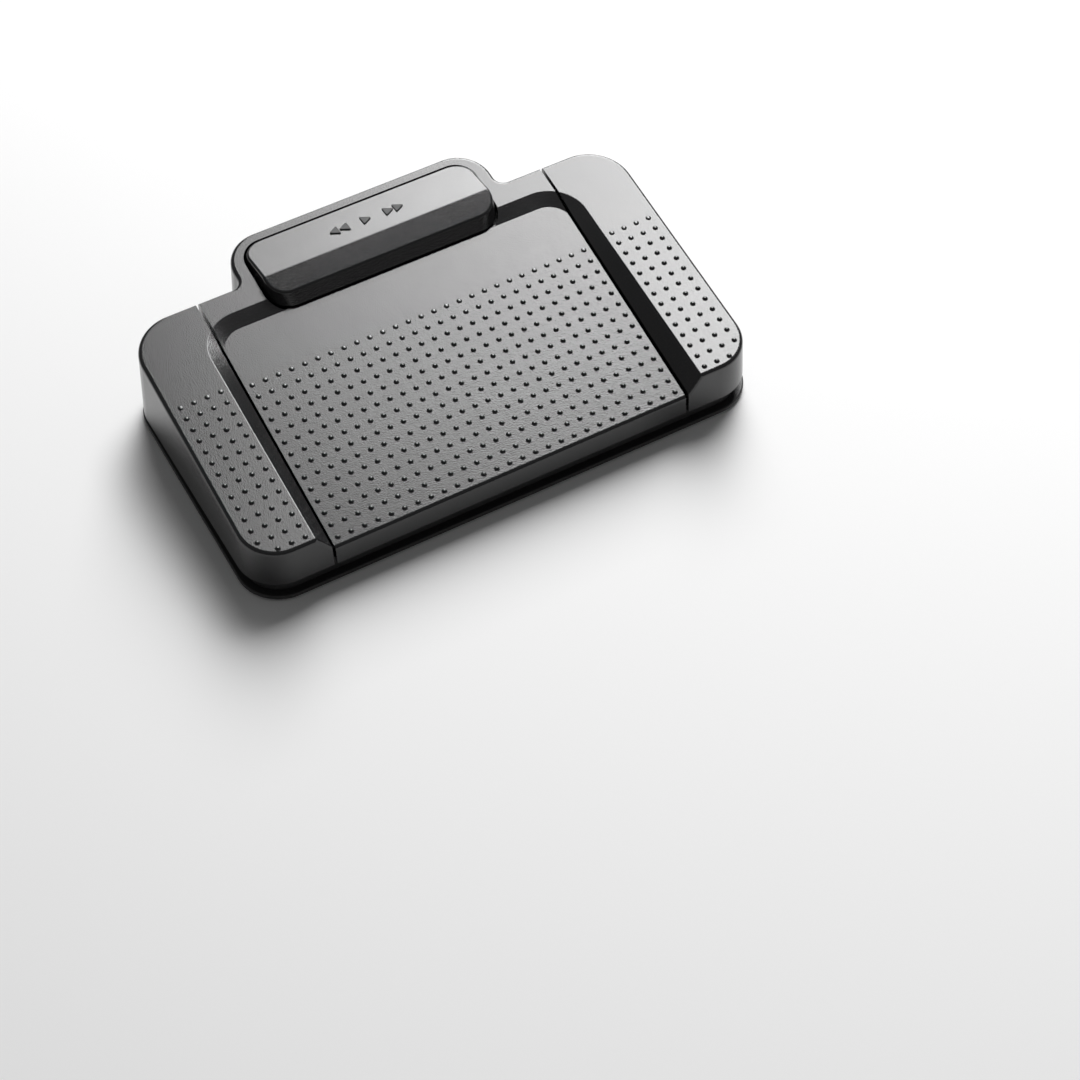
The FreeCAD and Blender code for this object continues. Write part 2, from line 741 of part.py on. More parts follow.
def make_grommet():
    """Cable inlet: a flange on each side of the rim and a bore for the cable."""
    rim_outer = skirt_hump_y - wall - rim_gap
    rim_inner = rim_outer - rim_wall
    taper = (cable_height + grommet_flange - skirt_rear) * draft
    inner = rim_inner - taper - grommet_flange_width
    axis = Vector(0, 1, 0)
    neck = Part.makeCylinder(grommet_neck, skirt_hump_y - inner, Vector(0, inner, cable_height), axis)
    inside = Part.makeCylinder(grommet_flange, grommet_flange_width,
                               Vector(0, inner, cable_height), axis)
    outer_face = rim_outer + (skirt_rear - floor_top) * draft
    outside = Part.makeCylinder(grommet_flange, skirt_hump_y - outer_face,
                                Vector(0, outer_face, cable_height), axis)
    body = fused([neck, inside, outside])
    rim = edges_where(body, lambda p: abs(p.y - skirt_hump_y) < 0.01)
    body = body.makeFillet(0.5, rim)
    bore = Part.makeCylinder(cable_radius, 40, Vector(0, inner - 20, cable_height), axis)
    return body.cut(bore)


def make_clamp():
    """Bar that presses the cable down between its two screws."""
    front, rear = clamp_y - clamp_half, clamp_y + clamp_half
    end = clamp_screw_x + clamp_half + 0.2
    plate = box(-end, end, front, rear, clamp_bottom, clamp_bottom + clamp_thickness)
    start, along = Vector(0, front, clamp_bottom), Vector(0, 1, 0)
    arch = Part.makeCylinder(cable_radius + 1.6, rear - front, start, along)
    arch = arch.common(box(-end, end, front, rear, clamp_bottom, tall))
    body = fused([plate, arch])
    body = body.cut(Part.makeCylinder(cable_radius, rear - front + 1, start, along))
    for side in (-1, 1):
        body = body.cut(cylinder(side * clamp_screw_x, clamp_y, 0, tall, clamp_screw[0] + 0.2))
    return body


def make_board():
    half = board_width / 2
    board = prism(rectangle(-half, half, board_front, board_rear, (1.5, 1.5, 1.5, 1.5)),
                  board_bottom, board_top)
    for side in (-1, 1):
        for x, y in board_screws:
            board = board.cut(cylinder(side * x, y, 0, tall, board_screw_radius + 0.2))
    return board


def make_lead():
    """Flat lead from the bar's board, through the pocket's floor, to the main board."""
    start = (bar_lead_y, bar_board_bottom)
    turn_high = (bar_lead_y, 21.0)
    turn_low = (lead_socket_y, 14.5)
    end = (lead_socket_y, board_top + 3.0)
    points = [start, turn_high, turn_low, end]
    left, right = [], []
    for i, (y, z) in enumerate(points):
        before = points[max(i - 1, 0)]
        after = points[min(i + 1, len(points) - 1)]
        dy, dz = after[0] - before[0], after[1] - before[1]
        size = math.hypot(dy, dz)
        ny, nz = -dz / size * lead_thickness / 2, dy / size * lead_thickness / 2
        left += [(y + ny, z + nz)]
        right += [(y - ny, z - nz)]
    return side_prism(left + right[::-1], -lead_half, lead_half)


def make_board_parts():
    """Small parts soldered to the main board: capacitors and resistors."""
    pieces = [cylinder(-44, sensor_y, board_top, board_top + 5, 2.5)]
    pieces += [cylinder(-52, sensor_y + 2, board_top, board_top + 5, 2.5)]
    for i in range(6):
        x = 40 + i * 4.5
        pieces += [box(x, x + 2, sensor_y - 4, sensor_y - 2.8, board_top, board_top + 0.6)]
        pieces += [box(x, x + 1.6, sensor_y + 4, sensor_y + 4.8, board_top, board_top + 0.7)]
    return Part.makeCompound(pieces)


def make_chip():
    """Controller chip with its rows of leads."""
    x, y = 22.0, sensor_y + 1.5
    body = box(x - 5, x + 5, y - 2, y + 2, board_top + 0.2, board_top + 1.8)
    leads = []
    for i in range(7):
        lead_x = x - 4.2 + i * 1.4
        leads += [box(lead_x - 0.25, lead_x + 0.25, y - 3.2, y + 3.2, board_top, board_top + 0.5)]
    return fused([body] + leads)


def make_header():
    """Plug connector for the cable, open to the rear."""
    x = -14.0
    shell = box(x - 6, x + 6, board_rear - 8, board_rear - 1, board_top, board_top + 5)
    return shell.cut(box(x - 5, x + 5, board_rear - 5, board_rear, board_top + 1, board_top + 4))


def make_sensor(x, y, bottom, height, half_x, half_y):
    return box(x - half_x, x + half_x, y - half_y, y + half_y, bottom, bottom + height)


# Base and what stays with it
export("base_tray", make_base())
export("ballast_plate", make_ballast())
export("ballast_screws", Part.makeCompound(sum(
    [both_sides(screw(x, y, floor_top + ballast_thickness, 2.7, 1.7, ballast_screw_radius, 3.0))
     for x, y in ballast_screws], [])))
export("hinge_axle", rod(-axle_half, axle_half, axle_y, axle_height, axle_radius))
foot = [cylinder(x, y, 0, foot_step + foot_recess, foot_radius) for x, y in feet]
foot = [shape.makeFillet(0.3, edges_where(shape, lambda p: p.z < 0.01)) for shape in foot]
export("rubber_feet", Part.makeCompound(sum([both_sides(shape) for shape in foot], [])))
export("stop_bumpers", Part.makeCompound(sum(
    [both_sides(cylinder(x, bumper_y, floor_top, bumper_top, bumper_radius))
     for x in (side_x, centre_station)], [])))
export("circuit_board", make_board())
export("board_screws", Part.makeCompound(sum(
    [both_sides(screw(x, y, board_top, 2.1, 1.4, board_screw_radius, 4.6))
     for x, y in board_screws], [])))
export("pedal_sensors", Part.makeCompound(
    [make_sensor(x, sensor_y, board_top, sensor_height, 1.6, 1.5)
     for x in (-sensor_x, centre_sensor_x, sensor_x)]))
export("controller_chip", make_chip())
export("board_components", make_board_parts())
export("cable_header", make_header())
export("lead_socket", make_sensor(0, lead_socket_y, board_top, 3.0, 4.0, 1.4))
export("cable_grommet", make_grommet())
export("cable_clamp", make_clamp())
export("clamp_screws", Part.makeCompound(both_sides(
    screw(clamp_screw_x, clamp_y, clamp_bottom + clamp_thickness, 2.3, 1.5, *clamp_screw))))

# Side pedals
right_pedal = make_side_pedal()
export("right_pedal", right_pedal)
export("left_pedal", both_sides(right_pedal)[1])
magnet = cylinder(sensor_x, sensor_y, magnet_bottom, magnet_bottom + magnet_length, magnet_radius)
export("right_magnet", magnet)
export("left_magnet", both_sides(magnet)[1])
spring = coil_spring(side_x, spring_y, floor_top + running, spring_top, spring_radius,
                     spring_wire, spring_turns)
export("right_spring", spring)
export("left_spring", both_sides(spring)[1])

# Centre pedal
export("centre_pedal", make_centre_pedal())
export("centre_magnet", cylinder(centre_sensor_x, sensor_y, magnet_bottom,
                                 magnet_bottom + magnet_length, magnet_radius))
export("centre_springs", Part.makeCompound([
    coil_spring(side * centre_station, spring_y, floor_top + running, spring_top, spring_radius,
                spring_wire, spring_turns) for side in (-1, 1)]))

# Bar and what works it
export("top_bar", make_bar())
export("bar_axle", rod(-bar_lugs[1] - 2.5, bar_lugs[1] + 2.5, bar_axle_y, bar_axle_z,
                       bar_axle_radius))
export("bar_springs", Part.makeCompound([
    coil_spring(side * bar_spring_x, bar_spring_y, pocket_floor + running, bar_spring_top,
                bar_spring_radius, bar_spring_wire, bar_spring_turns) for side in (-1, 1)]))
export("bar_magnet", cylinder(0, bar_board_y, bar_magnet_bottom,
                              bar_magnet_bottom + bar_magnet_length, bar_magnet_radius))
bar_board = prism(rectangle(-12, 12, bar_board_y - 4, bar_board_y + 5, (1, 1, 1, 1)),
                  bar_board_bottom, bar_board_top)
for side in (-1, 1):
    bar_board = bar_board.cut(cylinder(side * bar_board_screw, bar_board_y, 0, tall,
                                       bar_screw_radius + 0.15))
export("bar_board", bar_board)
export("bar_board_screws", Part.makeCompound(both_sides(
    screw(bar_board_screw, bar_board_y, bar_board_top, 1.5, 1.0, bar_screw_radius, 4.0))))
export("bar_sensor", make_sensor(0, bar_board_y, bar_board_top, bar_sensor_height, 1.5, 1.4))
export("bar_lead", make_lead())
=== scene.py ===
import math

import bmesh
import bpy
from mathutils import Matrix, Vector
from mathutils.bvhtree import BVHTree


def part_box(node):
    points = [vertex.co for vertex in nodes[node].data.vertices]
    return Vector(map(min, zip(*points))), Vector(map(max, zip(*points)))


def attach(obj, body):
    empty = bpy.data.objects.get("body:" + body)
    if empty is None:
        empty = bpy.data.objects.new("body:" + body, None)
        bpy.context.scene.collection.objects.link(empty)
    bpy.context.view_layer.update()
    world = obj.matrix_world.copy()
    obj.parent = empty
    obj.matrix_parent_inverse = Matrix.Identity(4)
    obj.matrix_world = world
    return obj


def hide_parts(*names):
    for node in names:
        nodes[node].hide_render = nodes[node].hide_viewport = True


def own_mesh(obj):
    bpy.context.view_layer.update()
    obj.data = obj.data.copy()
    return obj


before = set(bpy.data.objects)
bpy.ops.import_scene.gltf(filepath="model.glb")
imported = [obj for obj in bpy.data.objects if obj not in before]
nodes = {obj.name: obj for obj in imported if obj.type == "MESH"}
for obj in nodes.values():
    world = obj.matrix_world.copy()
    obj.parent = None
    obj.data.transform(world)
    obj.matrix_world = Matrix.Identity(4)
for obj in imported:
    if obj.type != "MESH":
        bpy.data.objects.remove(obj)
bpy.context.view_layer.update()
mm = 0.001
print("frame loaded:", len(nodes), "nodes")

# Camera: high at the front left, level, looking at the middle of the plate.
cameraView = {
    "place": Vector((-0.28924, -0.61901, 0.80709)),
    "forward": Vector((0.28638, 0.52625, -0.80065)),
    "right": Vector((0.87717, -0.48018, -0.00187)),
    "lens": 91.46,
    "sensor": 36.0,
}


def makeCamera():
    data = bpy.data.cameras.new("camera")
    data.lens = cameraView["lens"]
    data.sensor_width = cameraView["sensor"]
    camera = bpy.data.objects.new("camera", data)
    right = cameraView["right"].normalized()
    back = -cameraView["forward"].normalized()
    up = back.cross(right)
    turn = Matrix((right, up, back)).transposed().to_4x4()
    camera.matrix_world = Matrix.Translation(cameraView["place"]) @ turn
    bpy.context.scene.collection.objects.link(camera)
    bpy.context.scene.camera = camera


def linear(hexColour):
    channels = [int(hexColour[i:i + 2], 16) / 255 for i in (1, 3, 5)]
    return [c / 12.92 if c <= 0.04045 else ((c + 0.055) / 1.055) ** 2.4 for c in channels] + [1]


def addNode(tree, kind, settings=None, inputs=None, links=None):
    node = tree.nodes.new(kind)
    for name, value in (settings or {}).items():
        setattr(node, name, value)
    for name, value in (inputs or {}).items():
        node.inputs[name].default_value = value
    for name, source in (links or {}).items():
        tree.links.new(source, node.inputs[name])
    return node


def newObject(name, mesh):
    obj = bpy.data.objects.new(name, mesh)
    bpy.context.scene.collection.objects.link(obj)
    return obj


# Materials. Sizes are in millimetres; a pattern's scale is one over its size in metres.

finishes = {
    # ABS from a sand-blasted steel mould: even dark grey, a clear sheen with a fine speckle.
    # The real grain is under 0.1 mm; it is drawn at 0.45 mm so that it shows.
    "mouldedAbs": {
        "tones": ("#19191a", "#1d1d1e"), "toneSize": 34.0, "rough": (0.17, 0.20),
        "roughSize": 9.0, "grain": 0.45, "grainDetail": 0.0, "depth": 0.032, "ior": 1.6,
    },
    # same resin from a rougher mould: duller than the pedals
    "mouldedTrayAbs": {
        "tones": ("#1b1b1c", "#202021"), "toneSize": 40.0, "rough": (0.45, 0.58),
        "roughSize": 12.0, "grain": 0.7, "depth": 0.02, "ior": 1.54,
    },
    # same resin against a spark-eroded patch of the mould: dull, so it stays dark
    "erodedAbs": {
        "tones": ("#19191a", "#1d1d1e"), "toneSize": 34.0, "rough": (0.5, 0.58),
        "roughSize": 3.0, "grain": 0.3, "depth": 0.02, "ior": 1.5,
    },
    # compression-moulded rubber: nearly black, dull, with a bloom of dust
    "mouldedRubber": {
        "tones": ("#18181a", "#232325"), "toneSize": 5.0, "rough": (0.72, 0.9),
        "roughSize": 2.0, "grain": 0.35, "depth": 0.02, "ior": 1.52,
    },
    # cold-drawn steel rod: fine lines along its length
    "drawnSteel": {
        "tones": ("#9a9c9e", "#b4b6b8"), "toneSize": 6.0, "rough": (0.22, 0.38),
        "roughSize": 3.0, "grain": 0.25, "depth": 0.003, "metal": 1.0,
        "stretch": (0.05, 1.0, 1.0),
    },
    # zinc-plated steel: bluish, with a soft yellow cast in patches
    "zincPlate": {
        "tones": ("#9fa6ab", "#b9b294"), "toneSize": 2.2, "rough": (0.28, 0.45),
        "roughSize": 1.0, "grain": 0.3, "depth": 0.003, "metal": 1.0,
    },
    # hot-rolled and galvanised plate: spangled grey
    "galvanisedPlate": {
        "tones": ("#7d8387", "#a3a8ab"), "toneSize": 7.0, "rough": (0.35, 0.6),
        "roughSize": 5.0, "grain": 0.6, "depth": 0.006, "metal": 1.0, "spangle": True,
    },
    # hard-drawn spring wire: dark, oiled, with faint drawing lines
    "springWire": {
        "tones": ("#6e6f72", "#8a8b8d"), "toneSize": 4.0, "rough": (0.2, 0.34),
        "roughSize": 1.5, "grain": 0.2, "depth": 0.002, "metal": 1.0,
    },
    # nickel on sintered magnet: warm mirror, faint pits
    "nickelPlate": {
        "tones": ("#b7b2a8", "#c8c4bb"), "toneSize": 2.0, "rough": (0.14, 0.24),
        "roughSize": 1.0, "grain": 0.25, "depth": 0.002, "metal": 1.0,
    },
    # transfer-moulded epoxy chip body: matt black with filler specks
    "mouldedEpoxy": {
        "tones": ("#17181a", "#26272a"), "toneSize": 0.6, "rough": (0.5, 0.66),
        "roughSize": 0.8, "grain": 0.15, "depth": 0.006, "ior": 1.55,
    },
    # natural nylon: milky, slightly yellow
    "mouldedNylon": {
        "tones": ("#d8d3c4", "#e4e0d3"), "toneSize": 5.0, "rough": (0.35, 0.48),
        "roughSize": 2.0, "grain": 0.3, "depth": 0.005, "ior": 1.53,
    },
    # polyimide film: amber, with copper showing through as darker lines
    "polyimideFilm": {
        "tones": ("#8a5312", "#a5691d"), "toneSize": 1.2, "rough": (0.24, 0.34),
        "roughSize": 2.0, "grain": 0.4, "depth": 0.002, "ior": 1.7,
        "stretch": (3.0, 0.05, 0.05),
    },
}


def makeFinish(name, finish):
    material = bpy.data.materials.new(name)
    material.use_nodes = True
    tree = material.node_tree
    tree.nodes.clear()
    place = addNode(tree, "ShaderNodeTexCoord").outputs["Object"]
    if "stretch" in finish:
        place = addNode(tree, "ShaderNodeMapping", inputs={"Scale": finish["stretch"]},
                        links={"Vector": place}).outputs["Vector"]

    details = {"toneSize": 3.0, "roughSize": 4.0, "grain": finish.get("grainDetail", 2.0)}
    patterns = {}
    for pattern, detail in details.items():
        texture = addNode(tree, "ShaderNodeTexNoise", {"noise_dimensions": "3D"},
                          {"Scale": 1 / (finish[pattern] * mm), "Detail": detail,
                           "Roughness": 0.55}, {"Vector": place})
        patterns[pattern] = texture.outputs["Fac"]
    toneSource = patterns["toneSize"]
    if finish.get("spangle"):
        cells = addNode(tree, "ShaderNodeTexVoronoi", {"feature": "F1"},
                        {"Scale": 1 / (finish["toneSize"] * mm)}, {"Vector": place})
        toneSource = addNode(tree, "ShaderNodeSeparateColor",
                             links={"Color": cells.outputs["Color"]}).outputs["Red"]
    ramp = addNode(tree, "ShaderNodeValToRGB", links={"Fac": toneSource})
    for stop, (at, tone) in zip(ramp.color_ramp.elements, zip((0.3, 0.7), finish["tones"])):
        stop.position = at
        stop.color = linear(tone)
    low, high = finish["rough"]
    rough = addNode(tree, "ShaderNodeMapRange",
                    inputs={"From Min": 0.3, "From Max": 0.7, "To Min": low, "To Max": high},
                    links={"Value": patterns["roughSize"]})
    bump = addNode(tree, "ShaderNodeBump",
                   inputs={"Strength": 1.0, "Distance": finish["depth"] * mm},
                   links={"Height": patterns["grain"]})
    shader = addNode(tree, "ShaderNodeBsdfPrincipled",
                     inputs={"Metallic": finish.get("metal", 0.0)},
                     links={"Base Color": ramp.outputs["Color"],
                            "Roughness": rough.outputs["Result"],
                            "Normal": bump.outputs["Normal"]})
    if "ior" in finish:
        shader.inputs["IOR"].default_value = finish["ior"]
    addNode(tree, "ShaderNodeOutputMaterial", links={"Surface": shader.outputs["BSDF"]})
    return material


boardFinish = {
    "mask": "#0f4a26",
    "trace": "#1c6a38",
    "pitch": 2.54 * mm,
    "runWidth": 0.14,      # shares of the pitch
    "runLength": 4.0,
    "runSpacing": 0.5,
    "runRaise": 0.01 * mm,
    "weave": 0.4 * mm,
    "weaveRaise": 0.004 * mm,
}


def makeBoardMaterial():
    # glass-epoxy board under solder mask: glossy green, copper runs a shade lighter
    material = bpy.data.materials.new("solderMaskedBoard")
    material.use_nodes = True
    tree = material.node_tree
    tree.nodes.clear()
    place = addNode(tree, "ShaderNodeTexCoord").outputs["Object"]
    pitch, mask = boardFinish["pitch"], linear(boardFinish["mask"])
    runs = addNode(tree, "ShaderNodeTexBrick",
                   {"offset": 0.37, "offset_frequency": 2, "squash": 0.6, "squash_frequency": 3},
                   {"Color1": mask, "Color2": mask, "Mortar": linear(boardFinish["trace"]),
                    "Scale": 1.0, "Mortar Size": pitch * boardFinish["runWidth"],
                    "Mortar Smooth": 0.1, "Bias": 0.0,
                    "Brick Width": pitch * boardFinish["runLength"],
                    "Row Height": pitch * boardFinish["runSpacing"]},
                   {"Vector": place})
    weave = addNode(tree, "ShaderNodeTexNoise",
                    inputs={"Scale": 1 / boardFinish["weave"], "Detail": 1.0},
                    links={"Vector": place})
    bump = addNode(tree, "ShaderNodeBump",
                   inputs={"Strength": 0.6, "Distance": boardFinish["runRaise"]},
                   links={"Height": runs.outputs["Fac"]})
    bump = addNode(tree, "ShaderNodeBump",
                   inputs={"Strength": 0.3, "Distance": boardFinish["weaveRaise"]},
                   links={"Height": weave.outputs["Fac"], "Normal": bump.outputs["Normal"]})
    shader = addNode(tree, "ShaderNodeBsdfPrincipled", inputs={"Roughness": 0.22, "IOR": 1.55},
                     links={"Base Color": runs.outputs["Color"], "Normal": bump.outputs["Normal"]})
    addNode(tree, "ShaderNodeOutputMaterial", links={"Surface": shader.outputs["BSDF"]})
    return material


materials = {name: makeFinish(name, finish) for name, finish in finishes.items()}
materials["solderMaskedBoard"] = makeBoardMaterial()

nodeFinish = {
    "mouldedAbs": ["left_pedal", "right_pedal", "centre_pedal", "top_bar"],
    "mouldedTrayAbs": ["base_tray", "cable_clamp"],
    "mouldedRubber": ["rubber_feet", "stop_bumpers", "cable_grommet"],
    "drawnSteel": ["hinge_axle", "bar_axle"],
    "zincPlate": ["ballast_screws", "board_screws", "clamp_screws", "bar_board_screws"],
    "galvanisedPlate": ["ballast_plate"],
    "springWire": ["left_spring", "right_spring", "centre_springs", "bar_springs"],
    "nickelPlate": ["left_magnet", "right_magnet", "centre_magnet", "bar_magnet"],
    "mouldedEpoxy": ["pedal_sensors", "controller_chip", "board_components", "bar_sensor"],
    "mouldedNylon": ["cable_header", "lead_socket"],
    "polyimideFilm": ["bar_lead"],
    "solderMaskedBoard": ["circuit_board", "bar_board"],
}
for finishName, members in nodeFinish.items():
    for nodeName in members:
        slots = nodes[nodeName].data.materials
        slots.clear()
        slots.append(materials[finishName])
print("materials made:", len(materials))


# Reading the frame

def surfacePoint(nodeName, x, y):
    # the node's upper surface at x, y, and its facing
    mesh = nodes[nodeName].data
    faces = [polygon.vertices for polygon in mesh.polygons]
    tree = BVHTree.FromPolygons([vert.co for vert in mesh.vertices], faces)
    place, normal, _, _ = tree.ray_cast(Vector((x, y, 1.0)), Vector((0, 0, -1)))
    return place, normal


def solidBoxes(nodeName):
    # box of each separate solid in a node, from its joined vertices
    shape = bmesh.new()
    shape.from_mesh(nodes[nodeName].data)
    bmesh.ops.remove_doubles(shape, verts=shape.verts, dist=1e-6)
    left = set(shape.verts)
    boxes = []
    while left:
        start = left.pop()
        reached, queue = [start], [start]
        while queue:
            for edge in queue.pop().link_edges:
                for vert in edge.verts:
                    if vert in left:
                        left.discard(vert)
                        queue.append(vert)
                        reached.append(vert)
        low = Vector([min(v.co[i] for v in reached) for i in range(3)])
        high = Vector([max(v.co[i] for v in reached) for i in range(3)])
        boxes.append((low, high))
    shape.free()
    return sorted(boxes, key=lambda box: tuple(box[0]))


# Studs on the treads

studs = {
    "pitch": 5.4 * mm,
    "rows": 14,
    "diameter": 2.2 * mm,
    "height": 0.72 * mm,
    "rootDepth": 0.25 * mm,
    "segments": 14,
    "rings": 3,
    "firstRow": 41.0 * mm,     # in front of the pedals' rear edge
    "fadeFrom": 0.45,          # height of the first row, as a share
    "fadeRows": 2.2,
    "plateColumns": 27,
    "sideColumns": 4,
    "sideInset": 8.45 * mm,    # from the side tread's inner edge to its first column
    "sideInner": 74.1 * mm,    # that edge, from the middle of the object
    "rearLean": 1.34 * mm,     # how far the rear wall leans in up to the treads
    "crown": 0.6,              # the flat on top, in rings
    "rootFlare": 1.02,
    "dropFrom": 0.2,           # metres above the floor, clear of everything
}


def makeStudShape():
    half, height = studs["diameter"] / 2, studs["height"]
    ball = (half * half + height * height) / (2 * height)
    reach = math.asin(half / ball)
    shape = bmesh.new()
    rings = []
    for i in range(studs["rings"] + 1):
        angle = reach * (1 - i / (studs["rings"] + studs["crown"]))
        radius = ball * math.sin(angle)
        z = ball * math.cos(angle) - ball + height
        rings.append((radius, z))
    rings.insert(0, (half * studs["rootFlare"], -studs["rootDepth"]))
    loops = []
    for radius, z in rings:
        loop = []
        for k in range(studs["segments"]):
            turn = 2 * math.pi * k / studs["segments"]
            loop.append(shape.verts.new((radius * math.cos(turn), radius * math.sin(turn), z)))
        loops.append(loop)
    for low, high in zip(loops, loops[1:]):
        for k in range(studs["segments"]):
            after = (k + 1) % studs["segments"]
            shape.faces.new((low[k], low[after], high[after], high[k]))
    top = shape.verts.new((0, 0, height))
    for k in range(studs["segments"]):
        shape.faces.new((loops[-1][k], loops[-1][(k + 1) % studs["segments"]], top))
    shape.faces.new(loops[0][::-1])
    for face in shape.faces:
        face.smooth = True
    mesh = bpy.data.meshes.new("studShape")
    shape.to_mesh(mesh)
    shape.free()
    return newObject("studShape", mesh)


def makeStudTree():
    # grid of points dropped on to a tread, a stud on each, standing square to the surface
    tree = bpy.data.node_groups.new("studField", "GeometryNodeTree")
    face = tree.interface
    kinds = {"Target": "NodeSocketObject", "Stud": "NodeSocketObject",
             "Finish": "NodeSocketMaterial",
             "Columns": "NodeSocketInt", "Rows": "NodeSocketInt", "Pitch": "NodeSocketFloat",
             "Middle": "NodeSocketVector", "FadeFrom": "NodeSocketFloat",
             "FadeRows": "NodeSocketFloat", "SkipBeyond": "NodeSocketFloat"}
    for name, kind in kinds.items():
        face.new_socket(name, in_out="INPUT", socket_type=kind)
    face.new_socket("Geometry", in_out="OUTPUT", socket_type="NodeSocketGeometry")
    given = addNode(tree, "NodeGroupInput").outputs

    # from one row or column to the last, and half of it
    spans = []
    for count in ("Columns", "Rows"):
        steps = addNode(tree, "ShaderNodeMath", {"operation": "SUBTRACT"}, {1: 1.0},
                        {0: given[count]}).outputs["Value"]
        span = addNode(tree, "ShaderNodeMath", {"operation": "MULTIPLY"},
                       links={0: steps, 1: given["Pitch"]}).outputs["Value"]
        spans.append(span)
    width, depth = spans
    halfDepth = addNode(tree, "ShaderNodeMath", {"operation": "MULTIPLY"}, {1: 0.5},
                        {0: depth}).outputs["Value"]
    grid = addNode(tree, "GeometryNodeMeshGrid",
                   links={"Size X": width, "Size Y": depth, "Vertices X": given["Columns"],
                          "Vertices Y": given["Rows"]}).outputs["Mesh"]
    grid = addNode(tree, "GeometryNodeTransform",
                   links={"Geometry": grid, "Translation": given["Middle"]}).outputs["Geometry"]
    points = addNode(tree, "GeometryNodeMeshToPoints", links={"Mesh": grid}).outputs["Points"]
    place = addNode(tree, "GeometryNodeInputPosition").outputs["Position"]
    apart = addNode(tree, "ShaderNodeSeparateXYZ", links={"Vector": place}).outputs
    middle = addNode(tree, "ShaderNodeSeparateXYZ", links={"Vector": given["Middle"]}).outputs
    rearRow = addNode(tree, "ShaderNodeMath", {"operation": "ADD"},
                      links={0: middle["Y"], 1: halfDepth}).outputs["Value"]
    frontRow = addNode(tree, "ShaderNodeMath", {"operation": "SUBTRACT"},
                       links={0: middle["Y"], 1: halfDepth}).outputs["Value"]
    behind = addNode(tree, "ShaderNodeMath", {"operation": "SUBTRACT"},
                     links={0: rearRow, 1: apart["Y"]}).outputs["Value"]
    rowNumber = addNode(tree, "ShaderNodeMath", {"operation": "DIVIDE"},
                        links={0: behind, 1: given["Pitch"]}).outputs["Value"]
    fade = addNode(tree, "ShaderNodeMapRange", inputs={"From Min": 0.0, "To Max": 1.0},
                   links={"Value": rowNumber, "From Max": given["FadeRows"],
                          "To Min": given["FadeFrom"]}).outputs["Result"]
    fadeStore = addNode(tree, "GeometryNodeStoreNamedAttribute",
                        {"data_type": "FLOAT", "domain": "POINT"}, {"Name": "fade"},
                        {"Geometry": points, "Value": fade}).outputs["Geometry"]
    # the rounded front corner has no room for the last stud of the front row
    ahead = addNode(tree, "ShaderNodeMath", {"operation": "SUBTRACT"},
                    links={0: apart["Y"], 1: frontRow}).outputs["Value"]
    isFront = addNode(tree, "ShaderNodeMath", {"operation": "LESS_THAN"}, {1: 0.001},
                      {0: ahead}).outputs["Value"]
    fromMiddle = addNode(tree, "ShaderNodeMath", {"operation": "ABSOLUTE"},
                         links={0: apart["X"]}).outputs["Value"]
    isBeyond = addNode(tree, "ShaderNodeMath", {"operation": "GREATER_THAN"},
                       links={0: fromMiddle, 1: given["SkipBeyond"]}).outputs["Value"]
    skip = addNode(tree, "ShaderNodeMath", {"operation": "MULTIPLY"},
                   links={0: isFront, 1: isBeyond}).outputs["Value"]
    kept = addNode(tree, "GeometryNodeDeleteGeometry", {"domain": "POINT"},
                   links={"Geometry": fadeStore, "Selection": skip}).outputs["Geometry"]
    target = addNode(tree, "GeometryNodeObjectInfo", links={"Object": given["Target"]})
    drop = addNode(tree, "GeometryNodeRaycast",
                   inputs={"Ray Direction": (0, 0, -1), "Ray Length": 1.0},
                   links={"Target Geometry": target.outputs["Geometry"]}).outputs
    normalStore = addNode(tree, "GeometryNodeStoreNamedAttribute",
                          {"data_type": "FLOAT_VECTOR", "domain": "POINT"}, {"Name": "facing"},
                          {"Geometry": kept, "Value": drop["Hit Normal"]}).outputs["Geometry"]
    laid = addNode(tree, "GeometryNodeSetPosition",
                   links={"Geometry": normalStore, "Position": drop["Hit Position"]})
    facing = addNode(tree, "GeometryNodeInputNamedAttribute", {"data_type": "FLOAT_VECTOR"},
                     {"Name": "facing"}).outputs["Attribute"]
    fadeRead = addNode(tree, "GeometryNodeInputNamedAttribute", {"data_type": "FLOAT"},
                       {"Name": "fade"}).outputs["Attribute"]
    turn = addNode(tree, "FunctionNodeAlignRotationToVector", {"axis": "Z"},
                   links={"Vector": facing}).outputs["Rotation"]
    size = addNode(tree, "ShaderNodeCombineXYZ", inputs={"X": 1.0, "Y": 1.0},
                   links={"Z": fadeRead}).outputs["Vector"]
    shape = addNode(tree, "GeometryNodeObjectInfo", links={"Object": given["Stud"]})
    studField = addNode(tree, "GeometryNodeInstanceOnPoints",
                        links={"Points": laid.outputs["Geometry"], "Rotation": turn,
                               "Scale": size, "Instance": shape.outputs["Geometry"]})
    solid = addNode(tree, "GeometryNodeRealizeInstances",
                    links={"Geometry": studField.outputs["Instances"]})
    painted = addNode(tree, "GeometryNodeSetMaterial",
                      links={"Geometry": solid.outputs["Geometry"], "Material": given["Finish"]})
    addNode(tree, "NodeGroupOutput", links={"Geometry": painted.outputs["Geometry"]})
    return tree


